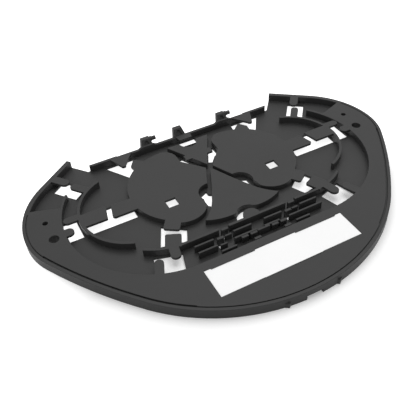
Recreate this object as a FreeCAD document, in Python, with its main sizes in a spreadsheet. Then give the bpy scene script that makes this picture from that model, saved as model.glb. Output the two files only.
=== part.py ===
# Fibre splitter cassette: a thin black moulded tray that guides fibre in two loops round a pair of
# islands, holds small splitters in a comb at the front and hinges on two pins at the back.
# The frame: +X to the right, +Y to the hinge side, +Z up, with the origin on the table under the
# middle of the tray.
import FreeCAD, Part
import Sketcher
import math
import os
from types import SimpleNamespace

# Driving sizes, in millimetres, with angles in degrees
SIZES = {
    # the moulding as a whole
    "tray_height": 5.0,
    "floor_thickness": 1.2,
    "plate_thickness": 1.2,
    "side_wall": 1.2,
    "weld": 0.2,
    "floor_clear": 0.4,
    "hole_clear": 1.0,
    # outer edge, from the ears round to the nose
    "side_x": 96.3,
    "side_y": 19.1,
    "shoulder_radius": 42.0,
    "ear_angle": 51.5,
    "ear_length": 23.6,
    "ear_wall": 2.4,
    "hip_radius": 33.0,
    "hip_angle": 29.6,
    "flank_radius": 229.0,
    "nose_radius": 84.0,
    "nose_join_x": 62.0,
    "rim_width": 1.5,
    "rim_groove": 0.5,
    "rim_groove_depth": 0.6,
    "flank_groove": 0.9,
    "flank_groove_depth": 0.9,
    "flank_groove_angle": 24.0,
    "flank_groove_end_x": 45.5,
    "grip_x": 12.4,
    "grip_width": 4.4,
    "grip_reach": 0.9,
    "grip_height": 2.6,
    "notch_half": 3.9,
    "notch_height": 2.2,
    # back wall
    "back_wall_y": 57.0,
    "back_wall": 1.6,
    "back_dip": 0.4,
    "back_dip_half": 38.0,
    "mouth_gap": 1.2,
    # fibre loops: outer wall, inner rib and lower guide
    "loop_x": 34.0,
    "loop_y": 13.3,
    "loop_radius": 45.0,
    "loop_top_angle": 36.9,
    "pocket_angle": 25.0,
    "pocket_corner_angle": 28.0,
    "pocket_wall_angle": 3.0,
    "rib_x": 44.5,
    "rib_y": 18.3,
    "rib_radius": 25.1,
    "rib_wall": 1.4,
    "rib_end_angle": 69.5,
    "guide_radius": 31.5,
    "guide_wall": 1.3,
    "guide_end_angle": 54.0,
    # islands
    "island_x": 17.0,
    "island_y": 21.0,
    "island_radius": 27.4,
    "island_front_angle": 45.0,
    "island_corner": 7.0,
    "island_drop": 0.8,
    "neck_x": 10.9,
    "neck_top_y": 42.0,
    "neck_low_y": 36.2,
    "waist_x": 6.8,
    "waist_y": 31.1,
    "cross_x": 1.9,
    "cross_y": 25.0,
    "bite_x": 7.0,
    "bite_y": 13.9,
    "bite_radius": 6.6,
    "bite_end_x": 13.8,
    "bite_end_y": 4.5,
    "lobe_x": 24.6,
    "lobe_y": 6.4,
    "lobe_radius": 12.1,
    "lobe_start_angle": 215.0,
    "lobe_end_angle": 297.0,
    "square_hole_x": 27.9,
    "square_hole_y": 10.1,
    "square_hole": 5.4,
    # crossing plates between the islands
    "funnel_back_y": 50.2,
    "funnel_half": 12.0,
    "funnel_tip_y": 27.2,
    "funnel_tab_y": 37.6,
    "funnel_tab": 3.8,
    "funnel_tab_x": 7.6,
    "moon_radius": 5.0,
    "delta_tip_y": 23.4,
    "delta_waist_x": 6.3,
    "delta_waist_y": 10.6,
    "delta_hip_x": 10.4,
    "delta_hip_y": 2.8,
    "delta_front_x": 19.9,
    "delta_front_y": -8.7,
    "delta_side_radius": 30.0,
    "delta_front_radius": 24.0,
    "delta_nose_y": -11.8,
    "delta_arch_half": 6.6,
    "delta_arch_rise": 3.4,
    "ramp_radius": 7.0,
    "ramp_depth": 0.5,
    # tabs that keep the fibre down, each over a hole in the floor
    "tab_clear": 2.3,
    "bite_nub": 2.0,
    "groove_hole_lead": 2.1,
    "groove_hole_rise": 3.3,
    "bridge_low_y": 14.6,
    "bridge_width": 8.7,
    "bridge_gap": 2.4,
    "bridge_gap_x": 56.1,
    "bridge_slant": 2.0,
    "bridge_corner": 1.5,
    "side_tab_y": 22.7,
    "side_tab_width": 4.0,
    "side_tab_length": 7.2,
    "ear_tab_y": 15.3,
    "ear_tab_width": 4.8,
    "ear_tab_length": 4.9,
    "entry_tab_along": 15.0,
    "entry_tab_width": 4.5,
    "entry_tab_length": 8.8,
    "entry_tongue_angle": 52.0,
    "entry_tongue_width": 4.0,
    "entry_tongue_tip": 35.4,
    "entry_hole_near": 30.2,
    "entry_hole_far": 44.0,
    "entry_hole_width": 9.0,
    "wall_tab_inner_x": 29.8,
    "wall_tab_outer_x": 42.4,
    "wall_tab_tip_x": 37.6,
    "wall_tab_tip_radius": 1.3,
    "wall_tab_length": 8.7,
    "wall_hole_inner_x": 29.0,
    "wall_hole_outer_x": 46.0,
    "wall_hole_start_angle": 44.1,
    "wall_hole_end_angle": 67.0,
    "island_tongue_start_angle": 50.0,
    "island_tongue_near_angle": 54.8,
    "island_tongue_far_angle": 64.0,
    "island_tongue_end_angle": 70.0,
    "island_tongue_near_reach": 3.0,
    "island_tongue_far_reach": 5.3,
    "island_tab_angle": 55.0,
    "island_tab_width": 7.7,
    "island_tab_reach": 5.6,
    "island_tab_corner": 1.2,
    "guide_tongue_angle": 11.2,
    "guide_tongue_lean": 115.0,
    "guide_tongue_width": 7.4,
    "guide_tongue_length": 7.8,
    "guide_tongue_corner": 0.9,
    "front_hole_near": 5.0,
    "front_hole_far": 15.5,
    "front_hole_skew": 1.3,
    "centre_tab_base": 8.8,
    "centre_tab_tip": 7.2,
    "centre_tab_length": 3.4,
    "comb_tongue_width": 8.0,
    "comb_tongue_length": 5.0,
    "guide_tab_angle": 13.4,
    "guide_tab_width": 4.6,
    "guide_tab_tip": 38.6,
    "left_guide_tab_angle": 11.2,
    "left_guide_tab_tip": 37.7,
    "apron_tab_angle": 23.1,
    "apron_tab_width": 4.2,
    "apron_tab_tip": 36.9,
    "apron_hole_angle": 16.5,
    "apron_hole_width": 12.8,
    # comb for the splitters
    "comb_pitch": 4.05,
    "comb_rib": 0.9,
    "comb_outer": 32.1,
    "comb_bay": 35.4,
    "comb_bay_length": 28.7,
    "comb_short_rib": 9.4,
    "comb_second_rib": 19.4,
    "comb_gap": 14.1,
    "comb_middle_start": 14.3,
    "comb_middle_end": 3.3,
    "comb_inner_start": 1.2,
    "comb_inner_end": 9.1,
    "comb_front_start": 15.4,
    "comb_front_end": 22.8,
    "back_clip": 15.1,
    "bay_clip": 10.8,
    "middle_clip": 11.4,
    "middle_clip_pitch": 15.7,
    "middle_clip_step": 4.5,
    "clip_length": 3.3,
    "clip_wall": 0.8,
    "clip_hook": 0.5,
    "clip_hole": 2.3,
    # label and its seat
    "label_length": 70.0,
    "label_width": 15.4,
    "label_setback": 4.4,
    "label_thickness": 0.3,
    "label_clearance": 0.1,
    "lip_clearance": 0.05,
    "label_lip": 0.5,
    "label_lip_start": 10.4,
    "label_lip_end": 31.8,
    "label_notch_half": 14.5,
    "label_notch": 0.6,
    # fixing holes in the ears
    "peg_hole_x": 84.3,
    "peg_hole_y": 14.3,
    "peg_hole_radius": 2.4,
    "pilot_hole_x": 85.0,
    "pilot_hole_y": 26.3,
    "pilot_hole_radius": 1.3,
    "boss_wall": 1.2,
    # hinge arms and pins
    "hinge_left_x": -20.5,
    "hinge_right_x": 25.0,
    "stop_x": -1.6,
    "arm_base": 7.6,
    "arm_tip": 4.6,
    "arm_depth": 2.4,
    "arm_rise": 3.3,
    "arm_lean": 2.8,
    "arm_root": 1.5,
    "arm_flare": 11.4,
    "arm_hollow": 0.55,
    "arm_hollow_stop": 0.9,
    "foot_rise": 0.7,
    "pin_radius": 1.15,
    "pin_length": 2.3,
    "pin_shoulder": 0.3,
    "pin_drop": 0.35,
}


class Dim:
    """A size that keeps its number and the sheet expression behind it together."""

    def __init__(self, value, text):
        self.value = value
        self.text = text

    def __add__(self, other):
        other = dim(other)
        return Dim(self.value + other.value, "(%s + %s)" % (self.text, other.text))

    def __sub__(self, other):
        other = dim(other)
        return Dim(self.value - other.value, "(%s - %s)" % (self.text, other.text))

    def __mul__(self, other):
        other = dim(other)
        return Dim(self.value * other.value, "(%s * %s)" % (self.text, other.text))

    def __truediv__(self, other):
        other = dim(other)
        return Dim(self.value / other.value, "(%s / %s)" % (self.text, other.text))

    def __neg__(self):
        return Dim(-self.value, "(-1 * %s)" % self.text)


def dim(number):
    """A plain number as a Dim; a Dim passes through."""
    if isinstance(number, Dim):
        return number
    return Dim(float(number), "(%.6f)" % number)


def cosine(angle):
    return Dim(math.cos(math.radians(angle.value)), "cos(%s)" % angle.text)


def sine(angle):
    return Dim(math.sin(math.radians(angle.value)), "sin(%s)" % angle.text)


def root(number):
    return Dim(math.sqrt(number.value), "sqrt(%s)" % number.text)


doc = FreeCAD.newDocument("fibre_splitter_cassette")
sheet = doc.addObject("Spreadsheet::Sheet", "Sizes")
for row, (alias, number) in enumerate(SIZES.items(), start=1):
    sheet.set("A%d" % row, alias)
    sheet.set("B%d" % row, str(number))
    sheet.setAlias("B%d" % row, alias)
doc.recompute()
size = SimpleNamespace(**{alias: Dim(float(sheet.get(alias)), "Sizes." + alias) for alias in SIZES})

LEFT_TURN = 1
RIGHT_TURN = -1
zero = dim(0)
# Cutting solids run this far past the faces that they open
over = dim(1)
top = size.tray_height
floor_top = size.floor_thickness
plate_under = top - size.plate_thickness


# Sketches. An outline is a list of corners: (x, y) starts a straight edge, and (x, y, radius, turn)
# starts an arc that turns left or right to the next corner.

def arc_between(start, finish, radius, turn):
    chord = finish - start
    reach = math.sqrt(max(radius ** 2 - (chord.Length / 2) ** 2, 0))
    left = FreeCAD.Vector(-chord.y, chord.x, 0).normalize()
    centre = (start + finish) * 0.5 + left * (reach * turn)
    begin, end = (start, finish) if turn == LEFT_TURN else (finish, start)
    angles = [math.atan2(point.y - centre.y, point.x - centre.x) for point in (begin, end)]
    circle = Part.Circle(centre, FreeCAD.Vector(0, 0, 1), radius)
    return Part.ArcOfCircle(circle, angles[0], angles[1])


def add_outline(sketch, corners):
    """Draw a closed outline and bind every corner and radius to the sheet."""
    first = sketch.GeometryCount
    points = [FreeCAD.Vector(corner[0].value, corner[1].value, 0) for corner in corners]
    edges = []
    ends = []
    for index, corner in enumerate(corners):
        start = points[index]
        finish = points[(index + 1) % len(points)]
        if len(corner) == 2:
            edges.append(Part.LineSegment(start, finish))
            ends.append((1, 2))
        else:
            edges.append(arc_between(start, finish, corner[2].value, corner[3]))
            ends.append((1, 2) if corner[3] == LEFT_TURN else (2, 1))
    sketch.addGeometry(edges, False)
    rules = []
    bindings = []
    for index, corner in enumerate(corners):
        edge = first + index
        before = first + (index - 1) % len(corners)
        rules.append(Sketcher.Constraint("Coincident", before, ends[index - 1][1], edge, ends[index][0]))
        for kind, place in (("DistanceX", corner[0]), ("DistanceY", corner[1])):
            bindings.append((sketch.ConstraintCount + len(rules), place.text))
            rules.append(Sketcher.Constraint(kind, -1, 1, edge, ends[index][0], place.value))
        if len(corner) > 2:
            bindings.append((sketch.ConstraintCount + len(rules), corner[2].text))
            rules.append(Sketcher.Constraint("Radius", edge, corner[2].value))
    sketch.addConstraint(rules)
    for number, text in bindings:
        sketch.setExpression("Constraints[%d]" % number, text)


def profile(name, outlines, level):
    sketch = doc.addObject("Sketcher::SketchObject", name + "_sketch")
    for corners in outlines:
        add_outline(sketch, corners)
    sketch.setExpression("Placement.Base.z", level.text)
    return sketch


def slab(name, outlines, low, high):
    """Solid between two heights over the given outlines."""
    solid = doc.addObject("Part::Extrusion", name)
    solid.Base = profile(name, outlines, low)
    solid.DirMode = "Custom"
    solid.Dir = FreeCAD.Vector(0, 0, 1)
    solid.Solid = True
    solid.setExpression("LengthFwd", (high - low).text)
    return solid


def slabs(name, outlines, low, high):
    """One slab for each outline."""
    return [slab("%s_%d" % (name, index), [corners], low, high) for index, corners in enumerate(outlines)]


def fuse(name, solids):
    joined = doc.addObject("Part::MultiFuse", name)
    joined.Shapes = solids
    return joined


def cut(name, base, tool):
    result = doc.addObject("Part::Cut", name)
    result.Base = base
    result.Tool = tool
    return result


# Outline shapes that repeat

def mirrored(corners):
    """The same outline on the other side of the tray's middle."""
    flipped = []
    for corner in corners:
        arc = (corner[2], -corner[3]) if len(corner) > 2 else ()
        flipped.append((-corner[0], corner[1]) + arc)
    return flipped


def both_sides(corners):
    return [corners, mirrored(corners)]


def polar(x, y, radius, angle):
    return (x + radius * cosine(angle), y + radius * sine(angle))


def turned(x, y, angle, along, across):
    """Point at a distance along and across a direction from (x, y)."""
    return (x + along * cosine(angle) - across * sine(angle),
            y + along * sine(angle) + across * cosine(angle))


def sector(x, y, inner, outer, start, end):
    """Part of a ring about (x, y)."""
    return [
        polar(x, y, outer, start) + (outer, LEFT_TURN),
        polar(x, y, outer, end),
        polar(x, y, inner, end) + (inner, RIGHT_TURN),
        polar(x, y, inner, start),
    ]


def tongue(x, y, angle, length, width):
    """Round-ended strip that starts square at (x, y)."""
    half = width / 2
    neck = length - half
    return [
        turned(x, y, angle, zero, -half),
        turned(x, y, angle, neck, -half) + (half, LEFT_TURN),
        turned(x, y, angle, length, zero) + (half, LEFT_TURN),
        turned(x, y, angle, neck, half),
        turned(x, y, angle, zero, half),
    ]


def rectangle(x_low, x_high, y_low, y_high):
    return [(x_low, y_low), (x_high, y_low), (x_high, y_high), (x_low, y_high)]


# The outer edge, drawn inset by any amount

normal_x = cosine(size.ear_angle)
normal_y = sine(size.ear_angle)
shoulder_x = size.side_x - size.shoulder_radius
tip_x = shoulder_x + size.shoulder_radius * normal_x - size.ear_length * normal_y
tip_y = size.side_y + size.shoulder_radius * normal_y + size.ear_length * normal_x
nose_y = -tip_y
nose_centre_y = nose_y + size.nose_radius
mouth_x = tip_x - (tip_y - size.back_wall_y) * normal_x / normal_y


def edge_half(inset):
    """Right half of the outer edge from the ear's tip to the nose, inset by a distance."""
    shoulder = size.shoulder_radius - inset
    hip = size.hip_radius - inset
    hip_x = size.side_x - size.hip_radius
    nose = size.nose_radius - inset
    join_x = size.nose_join_x - inset * size.nose_join_x / size.nose_radius
    join_y = nose_centre_y - root(nose * nose - join_x * join_x)
    return [
        (tip_x - inset * normal_x, tip_y - inset * normal_y),
        polar(shoulder_x, size.side_y, shoulder, size.ear_angle) + (shoulder, RIGHT_TURN),
        (size.side_x - inset, size.side_y, hip, RIGHT_TURN),
        polar(hip_x, size.side_y, hip, -size.hip_angle) + (size.flank_radius - inset, RIGHT_TURN),
        (join_x, join_y, nose, RIGHT_TURN),
        (zero, nose_centre_y - nose),
    ]


def other_half(corners):
    """The left half that closes a right half of an outline, walked back the other way."""
    points = mirrored(corners)
    back = []
    for index in range(len(points) - 1, 0, -1):
        arc = points[index - 1][2:]
        turn = (arc[0], -arc[1]) if arc else ()
        back.append(points[index][:2] + turn)
    back.append(points[0][:2])
    return back


def joined_halves(corners):
    """A whole outline from its right half, which starts off the middle and ends on it."""
    return corners[:-1] + other_half(corners)


def outer_edge(inset):
    half = edge_half(inset)
    return joined_halves([(mouth_x - inset, size.back_wall_y - inset)] + half)


# The moulded shell: outer edge, basin for the fibre and hollow underside

inner_back_y = size.back_wall_y - size.back_wall
pocket_outer = size.loop_radius + size.side_wall


def basin_half(grow):
    """Right half of the fibre basin, from the back wall round to the front, grown by a distance."""
    wall = size.ear_wall - grow
    shoulder = size.shoulder_radius - wall
    loop = size.loop_radius + grow
    inner_tip = (tip_x - wall * normal_x, tip_y - wall * normal_y)
    beyond = over * 2
    mouth = mouth_x - size.mouth_gap
    return [
        (mouth - size.back_wall * normal_x / normal_y, inner_back_y),
        (mouth + beyond * normal_x / normal_y, size.back_wall_y + beyond),
        (inner_tip[0] - beyond * normal_y, inner_tip[1] + beyond * normal_x),
        polar(shoulder_x, size.side_y, shoulder, size.ear_angle) + (shoulder, RIGHT_TURN),
        polar(shoulder_x, size.side_y, shoulder, size.pocket_corner_angle),
        polar(size.loop_x, size.loop_y, pocket_outer, size.pocket_angle) + (pocket_outer, LEFT_TURN),
        polar(size.loop_x, size.loop_y, pocket_outer, size.loop_top_angle),
        polar(size.loop_x, size.loop_y, loop, size.loop_top_angle) + (loop, RIGHT_TURN),
        (size.loop_x + loop, size.loop_y, loop, RIGHT_TURN),
        (size.loop_x, size.loop_y - loop),
        (zero, size.loop_y - loop),
    ]


def apron_half(inset):
    """Right half of the outer edge from the ear's plate to the nose, inset by a distance."""
    shoulder = size.shoulder_radius - inset
    start = polar(shoulder_x, size.side_y, shoulder, size.pocket_angle)
    return [start + (shoulder, RIGHT_TURN)] + edge_half(inset)[2:]


def hollow_outline():
    """Space under the ears and the front apron."""
    outer = joined_halves(apron_half(size.side_wall))
    loop = size.loop_radius + size.side_wall
    right = [
        (size.loop_x, size.loop_y - loop, loop, LEFT_TURN),
        (size.loop_x + loop, size.loop_y, loop, LEFT_TURN),
        polar(size.loop_x, size.loop_y, loop, size.pocket_angle - size.pocket_wall_angle),
    ]
    left = [
        polar(-size.loop_x, size.loop_y, loop, dim(180) - size.pocket_angle + size.pocket_wall_angle)
        + (loop, LEFT_TURN),
        (-size.loop_x - loop, size.loop_y, loop, LEFT_TURN),
        (-size.loop_x, size.loop_y - loop),
    ]
    return outer + left + right


def shell():
    block = slab("block", [outer_edge(zero)], zero, top)
    basin = slab("basin", [joined_halves(basin_half(zero))], floor_top, top + over)
    hollow = slab("apron_hollow", [hollow_outline()], -over, plate_under)
    return cut("shell", block, fuse("shell_spaces", [basin, hollow]))


def walk_back(path):
    """An open path of corners from its end to its start."""
    back = [path[-1][:2]]
    for index in range(len(path) - 1, 0, -1):
        arc = path[index - 1][2:]
        if arc:
            back[-1] = back[-1] + (arc[0], -arc[1])
        back.append(path[index - 1][:2])
    return back


def cylinder(name, x, y, low, high, radius):
    post = doc.addObject("Part::Cylinder", name)
    post.setExpression("Placement.Base.x", x.text)
    post.setExpression("Placement.Base.y", y.text)
    post.setExpression("Placement.Base.z", low.text)
    post.setExpression("Height", (high - low).text)
    post.setExpression("Radius", radius.text)
    return post


# Islands and the two plates between them, hollow from below

def island(inset):
    """Right island, which the fibre loops run round, inset by a distance."""
    arc = size.island_radius - inset
    lobe = size.lobe_radius - inset
    return [
        polar(size.island_x, size.island_y, arc, -size.island_front_angle) + (arc, LEFT_TURN),
        (size.island_x, size.island_y + arc, size.island_corner, LEFT_TURN),
        (size.neck_x + inset, size.neck_top_y),
        (size.neck_x + inset, size.neck_low_y),
        (size.waist_x + inset * 1.2, size.waist_y),
        (size.cross_x + inset * 1.3, size.cross_y),
        (size.bite_x + inset * 0.6, size.bite_y + inset, size.bite_radius + inset, RIGHT_TURN),
        (size.bite_end_x + inset, size.bite_end_y + inset * 0.3),
        polar(size.lobe_x, size.lobe_y, lobe, size.lobe_start_angle) + (lobe, LEFT_TURN),
        polar(size.lobe_x, size.lobe_y, lobe, size.lobe_end_angle),
    ]


def funnel(inset):
    """Plate between the islands at the back, a triangle that points at the crossing."""
    slope = size.funnel_half / (size.funnel_back_y - size.funnel_tip_y)
    side = inset * root(slope * slope + 1)
    return joined_halves([
        (size.funnel_half - slope * inset - side, size.funnel_back_y - inset),
        (zero, size.funnel_tip_y + side / slope),
    ])


def delta():
    """Plate between the islands at the front, with an arch for the comb's tongue."""
    arch_y = size.delta_nose_y + size.delta_arch_rise
    return joined_halves([
        (dim(0.4), size.delta_tip_y),
        (size.delta_waist_x, size.delta_waist_y),
        (size.delta_hip_x, size.delta_hip_y, size.delta_side_radius, LEFT_TURN),
        (size.delta_front_x, size.delta_front_y, size.delta_front_radius, RIGHT_TURN),
        (size.delta_arch_half, size.delta_nose_y, size.delta_arch_rise * 1.2, RIGHT_TURN),
        (size.delta_arch_half * 0.55, arch_y - size.delta_arch_rise * 0.45,
         size.delta_arch_rise * 1.5, LEFT_TURN),
        (zero, arch_y),
    ])


def delta_hollow():
    inset = size.plate_thickness
    arch_y = size.delta_nose_y + size.delta_arch_rise + inset
    return joined_halves([
        (size.delta_waist_x - inset * 1.4, size.delta_waist_y - inset),
        (size.delta_hip_x - inset * 1.5, size.delta_hip_y - inset),
        (size.delta_front_x - inset * 3, size.delta_front_y + inset * 0.8),
        (size.delta_arch_half + inset, size.delta_nose_y + inset * 1.2),
        (size.delta_arch_half * 0.6, arch_y),
        (zero, arch_y),
    ])


island_top = top - size.island_drop
island_under = island_top - size.plate_thickness


def ramp():
    """Shallow dish that leads the fibre from the comb's tongue up to the front plate."""
    dish = doc.addObject("Part::Cone", "ramp")
    dish.setExpression("Placement.Base.y", (size.delta_nose_y + size.delta_arch_rise).text)
    dish.setExpression("Placement.Base.z", (island_top - size.ramp_depth).text)
    dish.setExpression("Height", (size.ramp_depth * 1.1).text)
    dish.setExpression("Radius1", (size.ramp_radius * 0.4).text)
    dish.setExpression("Radius2", size.ramp_radius.text)
    return dish


def raised_plates():
    solids = slab("raised", both_sides(island(zero)) + [funnel(zero), delta()], zero, island_top)
    inset = size.plate_thickness
    hollows = both_sides(island(inset)) + [funnel(inset), delta_hollow()]
    return cut("raised_plates", solids, ramp()), slab("raised_hollows", hollows, -over, island_under)


# Upright ribs that part the fibre paths

guide_y = size.loop_y - size.guide_radius


bay_starts = (-size.comb_outer, size.comb_bay - size.comb_outer)


def ribs():
    inner = sector(size.rib_x, size.rib_y, size.rib_radius, size.rib_radius + size.rib_wall,
                   -size.rib_end_angle, size.rib_end_angle)
    guide = sector(size.loop_x, size.loop_y, size.guide_radius - size.guide_wall, size.guide_radius,
                   dim(-90), -size.guide_end_angle)
    first, second = bay_starts
    wall = [(-size.loop_x, first + size.comb_gap),
            (first + size.comb_second_rib, second + size.comb_gap),
            (second + size.comb_second_rib, size.loop_x)]
    backs = [rectangle(start, end, guide_y, guide_y + size.guide_wall) for start, end in wall]
    return slabs("rib", both_sides(inner) + both_sides(guide) + backs, zero, top)


# Tabs that keep the fibre down, and the floor holes that the mould needs under them

def rounded_tab(x, y, angle, start, end, width, corner):
    """Square-ended strip with rounded corners, along a direction from (x, y)."""
    half = width / 2
    return [
        turned(x, y, angle, start, -half),
        turned(x, y, angle, end - corner, -half) + (corner, LEFT_TURN),
        turned(x, y, angle, end, corner - half),
        turned(x, y, angle, end, half - corner) + (corner, LEFT_TURN),
        turned(x, y, angle, end - corner, half),
        turned(x, y, angle, start, half),
    ]


bridge_high_y = size.bridge_low_y + size.bridge_width


def island_bridge():
    """Wide tab of the island over the inner path, with a slanting end."""
    low = size.bridge_low_y
    corner = size.bridge_corner
    gap = size.bridge_gap_x
    inside = size.island_x + size.island_radius - size.side_wall
    return [(inside, low), (gap - corner, low, corner, LEFT_TURN), (gap - corner * 0.2, low + corner),
            (gap - size.bridge_slant, bridge_high_y), (inside, bridge_high_y)]


def rib_bridge():
    """Wide tab of the rib that nearly meets the island's."""
    far = size.bridge_gap_x + size.bridge_gap
    outside = size.rib_x + size.rib_radius + size.rib_wall / 2
    return [(far, size.bridge_low_y), (outside, size.bridge_low_y), (outside, bridge_high_y),
            (far - size.bridge_slant, bridge_high_y)]


def ear_wall_point(along):
    """Point on the inner face of the ear's wall, at a distance from the ear's tip."""
    return (tip_x - size.ear_wall * normal_x + along * normal_y,
            tip_y - size.ear_wall * normal_y - along * normal_x)


def side_tabs():
    reach = size.rib_radius + size.rib_wall / 2
    rib_tab = tongue(size.rib_x + reach, size.side_tab_y, zero, size.side_tab_length, size.side_tab_width)
    wall_x = size.loop_x + size.loop_radius + size.side_wall / 2
    ear_tab = tongue(wall_x, size.ear_tab_y, dim(180), size.ear_tab_length, size.ear_tab_width)
    entry_x, entry_y = ear_wall_point(size.entry_tab_along)
    root_depth = size.ear_wall / 2
    entry_tab = tongue(entry_x + root_depth * normal_x, entry_y + root_depth * normal_y, size.ear_angle + 180,
                       size.entry_tab_length + root_depth, size.entry_tab_width)
    base_x, base_y = polar(size.rib_x, size.rib_y, reach, size.entry_tongue_angle)
    entry_tongue = tongue(base_x, base_y, size.entry_tongue_angle, size.entry_tongue_tip - reach,
                          size.entry_tongue_width)
    return [rib_tab, ear_tab, entry_tab, entry_tongue]


wall_root_y = inner_back_y + size.back_wall / 2


def wall_tab():
    """Pointed tab on the back wall."""
    tip = size.wall_tab_tip_radius
    x = size.wall_tab_tip_x
    neck_y = inner_back_y - size.wall_tab_length + tip
    return [
        (size.wall_tab_outer_x, wall_root_y),
        (size.wall_tab_inner_x, wall_root_y),
        (x - tip, neck_y, tip, LEFT_TURN),
        (x, neck_y - tip, tip, LEFT_TURN),
        (x + tip, neck_y),
    ]


def island_tongue():
    """Part of the island that runs along the wall's tab."""
    base = size.island_radius - size.side_wall
    corners = [(base, size.island_tongue_start_angle),
               (size.island_radius + size.island_tongue_near_reach, size.island_tongue_near_angle),
               (size.island_radius + size.island_tongue_far_reach, size.island_tongue_far_angle),
               (base, size.island_tongue_end_angle)]
    return [polar(size.island_x, size.island_y, radius, angle) for radius, angle in corners]


def island_tab():
    radius = size.island_radius
    return rounded_tab(size.island_x, size.island_y, -size.island_tab_angle, radius - size.side_wall,
                       radius + size.island_tab_reach, size.island_tab_width, size.island_tab_corner)


guide_middle = size.guide_radius - size.guide_wall / 2
tongue_foot = polar(size.loop_x, size.loop_y, guide_middle, dim(-90) + size.guide_tongue_angle)


def guide_tongue():
    return rounded_tab(tongue_foot[0], tongue_foot[1], size.guide_tongue_lean, zero, size.guide_tongue_length,
                       size.guide_tongue_width, size.guide_tongue_corner)


def guide_tab(angle, tip):
    """Rounded tab on the guide, over the outer path."""
    direction = dim(-90) + angle
    x, y = polar(size.loop_x, size.loop_y, guide_middle, direction)
    return tongue(x, y, direction, tip - guide_middle, size.guide_tab_width)


def apron_tab():
    """Rounded tab on the apron beside the guide's."""
    direction = dim(-90) + size.apron_tab_angle
    far = size.loop_radius + size.side_wall / 2
    x, y = polar(size.loop_x, size.loop_y, far, direction)
    return tongue(x, y, direction + 180, far - size.apron_tab_tip, size.apron_tab_width)


def middle_tabs():
    base = size.centre_tab_base / 2
    tip = size.centre_tab_tip / 2
    end_y = inner_back_y - size.centre_tab_length
    centre_tab = [(-base, wall_root_y), (-tip, end_y), (tip, end_y), (base, wall_root_y)]
    comb_tongue = tongue(zero, guide_y + size.guide_wall / 2, dim(90),
                         size.comb_tongue_length, size.comb_tongue_width)
    return [centre_tab, comb_tongue]


def funnel_side(y):
    """Half width of the back plate at a place along it."""
    return size.funnel_half * (y - size.funnel_tip_y) / (size.funnel_back_y - size.funnel_tip_y)


def funnel_tab():
    low = size.funnel_tab_y - size.funnel_tab / 2
    high = size.funnel_tab_y + size.funnel_tab / 2
    return rectangle(funnel_side(low) / 2, size.funnel_tab_x, low, high)


def paired(outlines):
    return [corners for outline in outlines for corners in both_sides(outline)]


def tabs():
    high = paired([rib_bridge(), wall_tab(), guide_tongue(), apron_tab()] + side_tabs()) + middle_tabs()
    high.append(guide_tab(size.guide_tab_angle, size.guide_tab_tip))
    high.append(mirrored(guide_tab(size.left_guide_tab_angle, size.left_guide_tab_tip)))
    low = paired([island_bridge(), island_tongue(), island_tab(), funnel_tab()])
    return slabs("tab", high, plate_under, top) + slabs("island_tab", low, island_under, island_top)


def front_hole():
    x, y = tongue_foot
    half = size.guide_tongue_width / 2 + size.tab_clear
    near = size.front_hole_near
    far = size.front_hole_far
    skew = size.front_hole_skew
    corners = [(near - skew, -half), (far + skew, -half), (far - skew, half), (near + skew, half)]
    return [turned(x, y, size.guide_tongue_lean, along, across) for along, across in corners]


def wall_hole():
    edge = size.island_radius - size.floor_clear
    back_y = inner_back_y - size.floor_clear
    middle = (size.wall_hole_start_angle + size.wall_hole_end_angle) / 2
    foot = [polar(size.island_x, size.island_y, edge, angle)
            for angle in (size.wall_hole_start_angle, middle, size.wall_hole_end_angle)]
    return [(size.wall_hole_outer_x, back_y)] + foot + [(size.wall_hole_inner_x, back_y)]


def groove_hole():
    """Hole in the crossing's groove under the back plate's tab."""
    clear = size.floor_clear
    high = size.funnel_tab_y + size.funnel_tab
    side = size.neck_x - clear
    return [(funnel_side(size.waist_y) + clear * 2, size.waist_y + clear),
            (size.waist_x - size.groove_hole_lead, size.waist_y - clear),
            (size.waist_x + size.hole_clear, size.waist_y + size.groove_hole_rise),
            (side, size.neck_low_y - clear), (side, high), (funnel_side(high) + clear, high)]


def bite_hole():
    """Hole in the island's bite, which runs on under the front plate's edge."""
    clear = size.hole_clear
    nub = size.bite_nub
    return [(size.bite_x + nub, size.bite_y - nub),
            (size.bite_end_x - clear, size.bite_end_y + size.bite_radius - clear),
            (size.bite_end_x - clear, size.bite_end_y - size.tab_clear),
            (size.delta_hip_x + clear, size.delta_hip_y - size.tab_clear),
            (size.delta_hip_x - nub, size.delta_hip_y),
            (size.delta_waist_x, size.delta_waist_y - nub * 1.5),
            (size.bite_x + nub, size.delta_waist_y - clear)]


def comb_hole():
    """Round-backed hole under the comb's tongue."""
    half = size.delta_arch_half - size.floor_clear * 1.5
    low = guide_y + size.guide_wall + size.floor_clear
    high = size.delta_nose_y + size.delta_arch_rise - size.floor_clear
    side = high - half
    return [(-half, low), (half, low), (half, side, half, LEFT_TURN),
            (zero, high, half, LEFT_TURN), (-half, side)]


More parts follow.
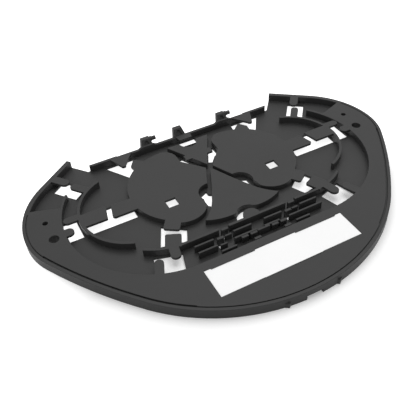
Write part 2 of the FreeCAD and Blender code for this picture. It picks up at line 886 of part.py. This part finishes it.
def floor_holes():
    clear = size.floor_clear
    rib_outer = size.rib_radius + size.rib_wall
    bridge_hole = rectangle(size.island_x + size.island_radius + clear, size.rib_x + size.rib_radius - clear,
                            size.bridge_low_y - size.tab_clear, bridge_high_y + size.tab_clear)
    side_hole = rectangle(size.rib_x + rib_outer + clear, size.loop_x + size.loop_radius - clear * 2,
                          size.ear_tab_y - size.ear_tab_width / 2 - clear,
                          size.side_tab_y + size.side_tab_width / 2 + clear * 2)
    entry_middle = (size.entry_hole_near + size.entry_hole_far) / 2
    x, y = polar(size.rib_x, size.rib_y, entry_middle, size.entry_tongue_angle)
    reach = (size.entry_hole_far - size.entry_hole_near) / 2
    half = size.entry_hole_width / 2
    entry_hole = [turned(x, y, size.entry_tongue_angle, along, across)
                  for along, across in ((-reach, -half), (reach, -half), (reach, half), (-reach, half))]
    near = size.guide_radius + clear
    far = size.loop_radius - size.hole_clear
    half = size.apron_hole_width / 2
    apron_hole = [turned(size.loop_x, size.loop_y, dim(-90) + size.apron_hole_angle, along, across)
                  for along, across in ((near, -half), (far, -half), (far, half), (near, half))]
    outlines = paired([bridge_hole, side_hole, entry_hole, apron_hole,
                       wall_hole(), front_hole(), groove_hole()])
    moon_half = size.moon_radius + size.hole_clear
    outlines.append(rectangle(-moon_half, moon_half, size.funnel_back_y + clear, inner_back_y - clear))
    outlines.append(comb_hole())
    shut_offs = slabs("floor_hole", outlines, -over, floor_top + size.weld)
    return shut_offs + slabs("bite_hole", both_sides(bite_hole()), -over, island_under)


second_row, third_row, front_row = [guide_y - size.comb_pitch * row for row in (1, 2, 3)]


def comb_ribs():
    """Upright ribs between the splitters, in three rows in front of the comb's wall."""
    outer = size.comb_outer
    spans = []
    for bay in bay_starts:
        spans.append((second_row, bay, bay + size.comb_short_rib))
        spans.append((second_row, bay + size.comb_second_rib, bay + size.comb_bay_length))
    spans.append((third_row, -outer, -size.comb_front_end))
    spans.append((third_row, -size.comb_middle_start, -size.comb_middle_end))
    spans.append((third_row, size.comb_inner_start, size.comb_inner_end))
    spans.append((third_row, size.comb_middle_start, outer))
    spans.append((third_row - size.comb_rib, size.weld * 2 - size.comb_middle_end, size.comb_middle_end))
    spans.append((front_row, -size.comb_front_end, -size.comb_front_start))
    spans.append((front_row, size.comb_front_start, size.comb_front_end))
    return [rectangle(start, end, y, y + size.comb_rib) for y, start, end in spans]


def comb():
    """Ribs and hooked spring clips that hold the splitters, with a hole under each bay clip's hook."""
    walls = comb_ribs()
    hooks = []
    holes = []

    def add_clip(x, row):
        front = row - size.clip_hook
        end = x + size.clip_length
        walls.append(rectangle(x, end, front, front + size.clip_wall))
        hooks.append(rectangle(x, end, front - size.clip_hook, front + size.clip_wall))

    def add_hole(x, row):
        front = row - size.clip_hook
        holes.append(rectangle(x, x + size.clip_length, front - size.clip_hole, front))

    blocks = []
    for bay in bay_starts:
        for x, row in ((bay + size.back_clip, guide_y), (bay + size.bay_clip, second_row)):
            add_clip(x, row)
            add_hole(x, row)
        block = bay + size.back_clip
        blocks.append(rectangle(block, block + size.clip_length, second_row, second_row + size.comb_rib))
    for start in (-size.middle_clip, size.middle_clip_pitch - size.middle_clip):
        add_clip(start, third_row - size.clip_hook)
        add_clip(start + size.middle_clip_step, third_row - size.clip_hook)
        add_clip(start + size.middle_clip_step, front_row)
    low_clip = size.bay_clip - size.comb_outer
    blocks.append(rectangle(low_clip, low_clip + size.clip_length, third_row, third_row + size.comb_rib))
    return (slabs("comb_wall", walls, zero, top) + slabs("comb_block", blocks, zero, top - size.clip_wall),
            slabs("comb_hook", hooks, top - size.clip_wall, top),
            slabs("clip_hole", holes, -over, floor_top + size.weld))


def ear_holes():
    posts = []
    bores = []
    for side, sign in (("left", -1), ("right", 1)):
        for kind, x, y, radius in (("peg", size.peg_hole_x, size.peg_hole_y, size.peg_hole_radius),
                                   ("pilot", size.pilot_hole_x, size.pilot_hole_y, size.pilot_hole_radius)):
            name = "%s_%s" % (side, kind)
            posts.append(cylinder(name + "_boss", x * sign, y, zero, plate_under + size.weld,
                                  radius + size.boss_wall))
            bores.append(cylinder(name + "_bore", x * sign, y, -over, top + over, radius))
    return posts, bores


label_back = size.loop_y - size.loop_radius - size.label_setback
label_front = label_back - size.label_width
seat_depth = size.label_thickness * 2


def label_seat():
    clear = size.label_clearance
    half = size.label_length / 2 + clear
    seat = rectangle(-half, half, label_front - clear, label_back + clear)
    notch = rectangle(-size.label_notch_half, size.label_notch_half,
                      label_front - size.label_notch - clear, label_front)
    return slabs("label_seat", [seat, notch], top - seat_depth, top + over)


def label_lips():
    """Thin lips over the card's back edge, just above it."""
    low = label_back - size.label_lip
    lip = rectangle(size.label_lip_start, size.label_lip_end,
                    low, label_back + size.label_clearance + size.weld)
    return slab("label_lips", both_sides(lip), top - size.label_thickness + size.lip_clearance, top)


def rim_line():
    """Fine line round the apron, a little in from its edge."""
    outer = joined_halves(apron_half(size.rim_width))
    inner = joined_halves(apron_half(size.rim_width + size.rim_groove))
    return slab("rim_line", [outer + walk_back(inner)], top - size.rim_groove_depth, top + over)


def flank_path(inset):
    """Edge of the flank and of part of the nose, moved in by a distance."""
    hip = size.hip_radius - inset
    nose = size.nose_radius - inset
    end_x = size.flank_groove_end_x
    start = polar(size.side_x - size.hip_radius, size.side_y, hip, -size.flank_groove_angle)
    end = (end_x, nose_centre_y - root(nose * nose - end_x * end_x))
    return [start + (hip, RIGHT_TURN)] + edge_half(inset)[3:5] + [end]


def flank_grooves():
    """Deeper groove beside the rim along each flank."""
    groove = flank_path(size.rim_width) + walk_back(flank_path(size.rim_width + size.flank_groove))
    return slabs("flank_groove", both_sides(groove), top - size.flank_groove_depth, top + over)


def loft(name, lower, low, upper, high):
    body = doc.addObject("Part::Loft", name)
    body.Sections = [profile(name + "_low", [lower], low), profile(name + "_high", [upper], high)]
    body.Solid = True
    body.Ruled = True
    return body


arm_low = top - size.arm_root
arm_high = top + size.arm_rise
arm_y = inner_back_y


def hinge_arm(name, x):
    """Leaning bracket on the back wall, with a flared foot and a hollow front."""
    half = size.arm_base / 2
    tip = size.arm_tip / 2
    lean = size.arm_lean
    depth = size.arm_depth
    arm = loft(name, rectangle(x - half, x + half, arm_y, arm_y + depth), arm_low,
               rectangle(x - tip, x + tip, arm_y + lean, arm_y + lean + depth), arm_high)
    hollow_low = half * size.arm_hollow
    hollow_high = tip * size.arm_hollow / 2
    deep = depth * size.arm_hollow
    shallow = deep / 2
    hollow = loft(name + "_hollow", rectangle(x - hollow_low, x + hollow_low, arm_y - over, arm_y + deep),
                  top - size.back_dip,
                  rectangle(x - hollow_high, x + hollow_high, arm_y + lean - depth, arm_y + lean + shallow),
                  arm_high - size.arm_hollow_stop)
    return cut(name + "_arm", arm, hollow)


def hinge_foot(name, x):
    """Flared foot between an arm and the top of the wall."""
    wide = size.arm_flare / 2
    narrow = size.arm_base / 2 - size.weld * 3
    return loft(name + "_foot", rectangle(x - wide, x + wide, inner_back_y, size.back_wall_y),
                top - size.back_dip - size.weld,
                rectangle(x - narrow, x + narrow, inner_back_y + size.weld, size.back_wall_y),
                top + size.foot_rise)


def cross_rod(name, start, end, radius):
    """Round rod along the hinge's axis."""
    rod = doc.addObject("Part::Cylinder", name)
    rod.Placement = FreeCAD.Placement(FreeCAD.Vector(), FreeCAD.Rotation(FreeCAD.Vector(0, 1, 0), 90))
    rod.setExpression("Placement.Base.x", start.text)
    rod.setExpression("Placement.Base.y", (arm_y + size.arm_lean + size.arm_depth / 2).text)
    rod.setExpression("Placement.Base.z", (arm_high - size.pin_radius - size.pin_drop).text)
    rod.setExpression("Radius", radius.text)
    rod.setExpression("Height", (end - start).text)
    return rod


def hinge_pin(name, x):
    """Pin with a shoulder that stands clear of the arm's slanting side."""
    shoulder = x + size.arm_base / 2 - size.weld
    inside = x + size.arm_tip / 2 - size.weld
    return [cross_rod(name + "_shoulder", inside, shoulder, size.pin_radius + size.pin_shoulder),
            cross_rod(name, shoulder - size.weld, shoulder + size.pin_length, size.pin_radius)]


def hinges():
    arms = []
    pins = []
    for name, x in (("hinge_left", size.hinge_left_x), ("hinge_right", size.hinge_right_x)):
        arms.append(hinge_arm(name, x))
        pins.append(hinge_foot(name, x))
        pins.extend(hinge_pin(name + "_pin", x))
    arms.append(hinge_arm("hinge_stop", size.stop_x))
    return arms + pins


def nose_details():
    grip_y = nose_centre_y - root(size.nose_radius * size.nose_radius - size.grip_x * size.grip_x)
    half = size.grip_width / 2
    root_y = grip_y + size.side_wall / 2
    grip = [(size.grip_x - half, root_y), (size.grip_x, grip_y - size.grip_reach),
            (size.grip_x + half, root_y)]
    notch = rectangle(-size.notch_half, size.notch_half, nose_y - over, nose_y + size.side_wall * 1.5)
    return (slab("grips", both_sides(grip), zero, size.grip_height),
            slab("nose_notch", [notch], -over, size.notch_height))


def cassette_tray():
    plates, plate_hollows = raised_plates()
    bosses, bores = ear_holes()
    grips, notch = nose_details()
    dip = slab("back_wall_dip", [rectangle(-size.back_dip_half, size.back_dip_half, inner_back_y - size.weld,
                                           size.back_wall_y + over)], top - size.back_dip, top + over)
    lowered = cut("lowered_shell", shell(), dip)
    moon = cylinder("moon", zero, size.funnel_back_y, -over, top + over, size.moon_radius)
    base = fuse("base", [lowered, plates, grips] + ribs() + bosses)
    square = rectangle(size.square_hole_x - size.square_hole / 2, size.square_hole_x + size.square_hole / 2,
                       size.square_hole_y - size.square_hole / 2, size.square_hole_y + size.square_hole / 2)
    squares = slab("square_holes", both_sides(square), -over, top + over)
    moon_cut = doc.addObject("Part::Common", "moon_in_funnel")
    moon_cut.Base = moon
    moon_cut.Tool = slab("funnel_space", [rectangle(-size.funnel_half, size.funnel_half, size.funnel_tip_y,
                                                    size.funnel_back_y + size.weld)], -over, top + over)
    comb_walls, comb_hooks, clip_holes = comb()
    spaces = fuse("spaces", [plate_hollows, moon_cut, squares, notch, rim_line()] + flank_grooves()
                  + floor_holes() + clip_holes + bores + label_seat())
    moulded = cut("moulded", base, spaces)
    tabbed = fuse("tabbed", [moulded] + tabs())
    combed = fuse("combed", [tabbed] + comb_walls)
    clipped = fuse("clipped", [combed] + comb_hooks)
    hinged = fuse("hinged", [clipped] + hinges())
    whole = fuse("cassette_tray", [hinged, label_lips()])
    whole.Label = "cassette_tray"
    return whole


def label_card():
    half = size.label_length / 2
    card = slab("label_card", [rectangle(-half, half, label_front, label_back)], top - seat_depth,
                top - size.label_thickness)
    card.Label = "label_card"
    return card


parts = [cassette_tray(), label_card()]
doc.recompute()
for thing in doc.Objects:
    if "Invalid" in thing.State or "Error" in thing.State:
        raise RuntimeError("%s did not build" % thing.Name)
for part in parts:
    if part.Shape.isNull() or not part.Shape.isValid():
        raise RuntimeError("%s has no valid shape" % part.Label)
os.makedirs("parts", exist_ok=True)
for part in parts:
    part.Shape.exportStep("parts/%s.step" % part.Label)
    box = part.Shape.BoundBox
    print(part.Label, len(part.Shape.Solids), "solids", round(part.Shape.Volume), "mm3",
          [round(v, 2) for v in (box.XMin, box.XMax, box.YMin, box.YMax, box.ZMin, box.ZMax)])
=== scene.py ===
# %% [markdown]
# # A fibre splitter cassette, dressed for its picture
# The cassette is one flat black moulding that keeps loops of optical fibre at a safe bend, with a comb
# for small splitter blocks and a blank label card. All of its shape comes from the imported solids, so
# this lesson is about finish: how a satin black plastic shows its form in soft light, and how a white
# studio floor is made without flooding the part with light. The solids are loaded first.

# %% Load the solids
import math
import bpy
from mathutils import Matrix, Vector

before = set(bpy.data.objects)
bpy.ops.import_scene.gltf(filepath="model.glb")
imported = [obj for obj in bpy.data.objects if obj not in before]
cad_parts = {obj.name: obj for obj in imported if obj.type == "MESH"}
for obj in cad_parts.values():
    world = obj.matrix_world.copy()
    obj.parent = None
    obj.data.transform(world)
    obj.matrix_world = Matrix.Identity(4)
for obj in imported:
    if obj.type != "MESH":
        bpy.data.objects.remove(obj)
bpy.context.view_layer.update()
scene = bpy.context.scene
scene.view_settings.view_transform = "Standard"
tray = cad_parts["cassette_tray"]
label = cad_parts["label_card"]
print("nodes:", ", ".join(sorted(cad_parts)))

# %% [markdown]
# ## The camera
# The picture looks down on the cassette from the front left, and is tilted a little. A camera could be
# aimed with a constraint, but here its three axes are worked out from the heading, the downward pitch
# and the tilt, because a matrix built from axes says exactly where the picture was taken from. The
# focal length is given in pixels of the square picture, and a 36 mm sensor turns that into a lens.

# %% Camera
PICTURE_PIXELS = 420
FOCAL_PIXELS = 568.3
SENSOR_MM = 36
CAMERA_PLACE = (-0.0985, -0.1781, 0.1850)
HEADING_PITCH_TILT = (25.62, 43.07, 3.47)

heading, pitch, tilt = (math.radians(angle) for angle in HEADING_PITCH_TILT)
forward = Vector((math.sin(heading) * math.cos(pitch),
                  math.cos(heading) * math.cos(pitch),
                  -math.sin(pitch)))
level_right = Vector((math.cos(heading), -math.sin(heading), 0))
level_down = forward.cross(level_right)
right = math.cos(tilt) * level_right + math.sin(tilt) * level_down
down = math.cos(tilt) * level_down - math.sin(tilt) * level_right
camera_data = bpy.data.cameras.new("picture_camera")
camera_data.sensor_width = SENSOR_MM
camera_data.lens = SENSOR_MM * FOCAL_PIXELS / PICTURE_PIXELS
camera = bpy.data.objects.new("picture_camera", camera_data)
axes = Matrix((right, -down, -forward)).transposed().to_4x4()
camera.matrix_world = Matrix.Translation(CAMERA_PLACE) @ axes
scene.collection.objects.link(camera)
scene.camera = camera
print("lens: %.1f mm" % camera_data.lens)

# %% [markdown]
# ## Helpers for finishes
# Colours are easiest to choose as the hex values that a picture editor shows, but a shader works in
# linear light, so one function converts them. Another adds a node, sets its inputs and links them, so
# that each material below reads as a short recipe: a value among the inputs is either a constant or
# another node's output. The last one starts a material with an empty node tree.

# %% Helpers
def linear(hex_colour):
    channels = [int(hex_colour[start:start + 2], 16) / 255 for start in (1, 3, 5)]
    return tuple(c / 12.92 if c <= 0.04045 else ((c + 0.055) / 1.055) ** 2.4 for c in channels) + (1.0,)


def add_node(tree, kind, inputs=None, **settings):
    node = tree.nodes.new(kind)
    for name, value in settings.items():
        setattr(node, name, value)
    for name, value in (inputs or {}).items():
        if isinstance(value, bpy.types.NodeSocket):
            tree.links.new(value, node.inputs[name])
        else:
            node.inputs[name].default_value = value
    return node


def new_material(name):
    material = bpy.data.materials.new(name)
    material.use_nodes = True
    material.node_tree.nodes.clear()
    return material, material.node_tree


print("middle grey in linear light: %.3f" % linear("#808080")[0])

# %% [markdown]
# ## Black ABS, moulded against a spark-eroded steel
# The tray is injection moulded in black ABS. The steel is eroded by sparks, which leaves pits of a few
# hundredths of a millimetre, so the plastic is satin: no clear reflections, but a soft sheen. The pits
# trap part of that sheen and scatter the rest, so the eye sees a dark grey. That is why the colour is
# well above black, and why the specular level is lowered while the IOR stays that of ABS. Pits that fine
# would vanish in the picture, so the grain is drawn at about 0.35 mm. A second, broad noise stands for
# the way the melt flowed, and shifts the roughness a little over some 40 mm. Moulded edges are never
# sharp, and their tiny radius is what catches the light. It could be a bevel modifier, but that would
# have to find every edge of the comb, so a bevel of a third of a millimetre is added to the shading.

# %% Tray finish
GRAIN_MM = 0.35
PIT_DEPTH_MM = 0.02
FLOW_MM = 40
FLOW_SPAN = (0.3, 0.7)  # most of the flow noise lies between these values
EDGE_RADIUS_MM = 0.35
ABS_IOR = 1.53
SATIN_ROUGHNESS = (0.40, 0.48)
SHEEN_LEVEL = 0.13


def moulded_black_abs():
    material, tree = new_material("black_ABS_spark_eroded_satin")
    place = add_node(tree, "ShaderNodeTexCoord").outputs["Object"]
    grain = add_node(tree, "ShaderNodeTexNoise", {"Vector": place, "Scale": 1000 / GRAIN_MM, "Detail": 2.0})
    flow = add_node(tree, "ShaderNodeTexNoise", {"Vector": place, "Scale": 1000 / FLOW_MM, "Detail": 3.0})
    colour = add_node(tree, "ShaderNodeValToRGB", {"Fac": flow.outputs["Fac"]})
    for stop, place_on_ramp, shade in zip(colour.color_ramp.elements, FLOW_SPAN, ("#373737", "#3b3b3b")):
        stop.position = place_on_ramp
        stop.color = linear(shade)
    roughness = add_node(tree, "ShaderNodeMapRange", {
        "Value": flow.outputs["Fac"], "From Min": FLOW_SPAN[0], "From Max": FLOW_SPAN[1],
        "To Min": SATIN_ROUGHNESS[0], "To Max": SATIN_ROUGHNESS[1]})
    edge = add_node(tree, "ShaderNodeBevel", {"Radius": EDGE_RADIUS_MM / 1000}, samples=6)
    pits = add_node(tree, "ShaderNodeBump", {
        "Height": grain.outputs["Fac"], "Distance": PIT_DEPTH_MM / 1000, "Strength": 0.5,
        "Normal": edge.outputs["Normal"]})
    plastic = add_node(tree, "ShaderNodeBsdfPrincipled", {
        "Base Color": colour.outputs["Color"], "Roughness": roughness.outputs["Result"], "IOR": ABS_IOR,
        "Specular IOR Level": SHEEN_LEVEL, "Normal": pits.outputs["Normal"]})
    add_node(tree, "ShaderNodeOutputMaterial", {"Surface": plastic.outputs["BSDF"]})
    return material


tray.data.materials.clear()
tray.data.materials.append(moulded_black_abs())
print("tray finish:", tray.data.materials[0].name)

# %% [markdown]
# ## A white polypropylene card
# The label is a slip of matt white film, calendered between rollers. It is not printed here. Film of
# this kind has a fine tooth, so pencil and pen will take, and that keeps it from shining. The tooth is
# drawn at 0.3 mm, coarser than it is, so that it shows at all, and the white varies very slightly.

# %% Label finish
TOOTH_MM = 0.3
TOOTH_DEPTH_MM = 0.01
SHADE_MM = 12
FILM_IOR = 1.49
FILM_ROUGHNESS = 0.62


def matt_white_film():
    material, tree = new_material("white_polypropylene_film_matt")
    place = add_node(tree, "ShaderNodeTexCoord").outputs["Object"]
    tooth = add_node(tree, "ShaderNodeTexNoise", {"Vector": place, "Scale": 1000 / TOOTH_MM, "Detail": 2.0})
    shade = add_node(tree, "ShaderNodeTexNoise", {"Vector": place, "Scale": 1000 / SHADE_MM, "Detail": 2.0})
    colour = add_node(tree, "ShaderNodeValToRGB", {"Fac": shade.outputs["Fac"]})
    colour.color_ramp.elements[0].color = linear("#fafafa")
    colour.color_ramp.elements[1].color = linear("#fefefe")
    matt = add_node(tree, "ShaderNodeBump", {
        "Height": tooth.outputs["Fac"], "Distance": TOOTH_DEPTH_MM / 1000, "Strength": 0.4})
    film = add_node(tree, "ShaderNodeBsdfPrincipled", {
        "Base Color": colour.outputs["Color"], "Roughness": FILM_ROUGHNESS, "IOR": FILM_IOR,
        "Normal": matt.outputs["Normal"]})
    add_node(tree, "ShaderNodeOutputMaterial", {"Surface": film.outputs["BSDF"]})
    return material


label.data.materials.clear()
label.data.materials.append(matt_white_film())
print("label finish:", label.data.materials[0].name)

# %% [markdown]
# ## A white floor that keeps a soft shadow, deepened with painted shade
# A catalogue picture stands on pure white. Turning up the lamps until the floor clips would also bleach
# the part. Instead the floor answers camera rays with a glow, plus most of the light that falls on it, so
# it reaches white in the open and dims softly where the tray shades it. The way the glow varies is painted
# shade: it is dimmed under the front half of the tray and in front of it, so the shadow there is deeper
# than the lamps make it. It rises behind the middle of the tray, so the openings at the back look clear,
# and far from the tray, so no grey horizon shows from other sides. Reflections see the same
# white, and light that bounces sees an ordinary pale floor.

# %% Floor finish
# painted shade: the glow is low in front of the first y and within the first radius, and rises to full past
# the second
PAINTED_SHADE_FADE_Y = (-0.022, 0.015)
PAINTED_SHADE_GLOW = (0.26, 0.83)
PAINTED_SHADE_FADE_RADIUS = (0.13, 0.35)


def seen_by_eye(tree):
    rays = add_node(tree, "ShaderNodeLightPath").outputs
    mirrored = add_node(tree, "ShaderNodeMath", {0: rays["Is Camera Ray"], 1: rays["Is Glossy Ray"]},
                        operation="MAXIMUM")
    return add_node(tree, "ShaderNodeMath", {0: mirrored.outputs[0], 1: rays["Is Transmission Ray"]},
                    operation="MAXIMUM").outputs[0]


def studio_white_with_painted_shade():
    material, tree = new_material("studio_floor_with_painted_shade")
    paint = add_node(tree, "ShaderNodeBsdfDiffuse", {"Color": linear("#e6e6e6")})
    shaded = add_node(tree, "ShaderNodeBsdfDiffuse", {"Color": linear("#f0f0f0")})
    place = add_node(tree, "ShaderNodeTexCoord").outputs["Object"]
    back = add_node(tree, "ShaderNodeSeparateXYZ", {"Vector": place}).outputs["Y"]
    away = add_node(tree, "ShaderNodeVectorMath", {0: place}, operation="LENGTH").outputs["Value"]
    # painted shade: the glow is dimmed under the front of the tray and close around it, deepening its
    # shadow
    painted_shade_fades = [add_node(tree, "ShaderNodeMapRange", {
        "Value": measure, "From Min": start, "From Max": end,
        "To Min": PAINTED_SHADE_GLOW[0], "To Max": PAINTED_SHADE_GLOW[1]}).outputs["Result"]
        for measure, (start, end) in ((back, PAINTED_SHADE_FADE_Y), (away, PAINTED_SHADE_FADE_RADIUS))]
    glow_level_with_painted_shade = add_node(tree, "ShaderNodeMath", {0: painted_shade_fades[0], 1: painted_shade_fades[1]}, operation="MAXIMUM")
    glow = add_node(tree, "ShaderNodeEmission", {
        "Color": linear("#ffffff"), "Strength": glow_level_with_painted_shade.outputs[0]})
    white = add_node(tree, "ShaderNodeAddShader", {0: shaded.outputs[0], 1: glow.outputs[0]})
    surface = add_node(tree, "ShaderNodeMixShader", {
        0: seen_by_eye(tree), 1: paint.outputs[0], 2: white.outputs[0]})
    add_node(tree, "ShaderNodeOutputMaterial", {"Surface": surface.outputs[0]})
    return material


floor_finish = studio_white_with_painted_shade()
print("floor finish:", floor_finish.name)

# %% [markdown]
# ## The floor itself
# The floor is one large square. It lies a fifth of a millimetre below the tray, because two faces in
# the same place would flicker against each other.

# %% Floor
FLOOR_SIDE = 4.0
FLOOR_DROP = 0.0002

half = FLOOR_SIDE / 2
corners = [(-half, -half, 0), (half, -half, 0), (half, half, 0), (-half, half, 0)]
floor_mesh = bpy.data.meshes.new("studio_floor")
floor_mesh.from_pydata(corners, [], [(0, 1, 2, 3)])
floor_mesh.materials.append(floor_finish)
floor = bpy.data.objects.new("studio_floor", floor_mesh)
floor.location.z = -FLOOR_DROP
scene.collection.objects.link(floor)
print("floor: %.0f m square" % FLOOR_SIDE)

# %% [markdown]
# ## Soft light from above and behind
# In the picture the top faces are the lightest, the walls that face the viewer are nearly black, and a
# soft shadow lies in front of the tray. So the main light is a wide soft box above it, a little behind
# and to the right. A weak one on the left opens the shadows. Both are aimed at the middle of the tray,
# which is the origin.

# %% Lamps
def soft_box(name, place, side, watts):
    lamp_data = bpy.data.lights.new(name, "AREA")
    lamp_data.shape = "SQUARE"
    lamp_data.size = side
    lamp_data.energy = watts
    lamp = bpy.data.objects.new(name, lamp_data)
    lamp.location = place
    lamp.rotation_euler = (-Vector(place)).to_track_quat("-Z", "Y").to_euler()
    scene.collection.objects.link(lamp)


soft_box("overhead_soft_box", place=(0.22, 0.27, 0.9), side=0.9, watts=5.6)
soft_box("left_soft_box", place=(-0.8, -0.1, 0.6), side=0.6, watts=0.5)

# %% [markdown]
# ## An even fill
# What the lamps leave dark is filled by the world. It could be a picture of a room, but an even grey
# gives the plain light of a studio tent. The eye and the reflections see white instead, which matches
# the floor. The white card shows whether the level is right: it has to stay just under pure white.

# %% World
FILL_LEVEL = 0.5
BACKDROP_LEVEL = 1.0

world = bpy.data.worlds.new("studio_world")
world.use_nodes = True
sky_tree = world.node_tree
sky_tree.nodes.clear()
fill = add_node(sky_tree, "ShaderNodeBackground", {"Color": linear("#ffffff"), "Strength": FILL_LEVEL})
backdrop = add_node(sky_tree, "ShaderNodeBackground", {
    "Color": linear("#ffffff"), "Strength": BACKDROP_LEVEL})
sky = add_node(sky_tree, "ShaderNodeMixShader", {
    0: seen_by_eye(sky_tree), 1: fill.outputs[0], 2: backdrop.outputs[0]})
add_node(sky_tree, "ShaderNodeOutputWorld", {"Surface": sky.outputs[0]})
scene.world = world
print("fill level: %.1f" % FILL_LEVEL)
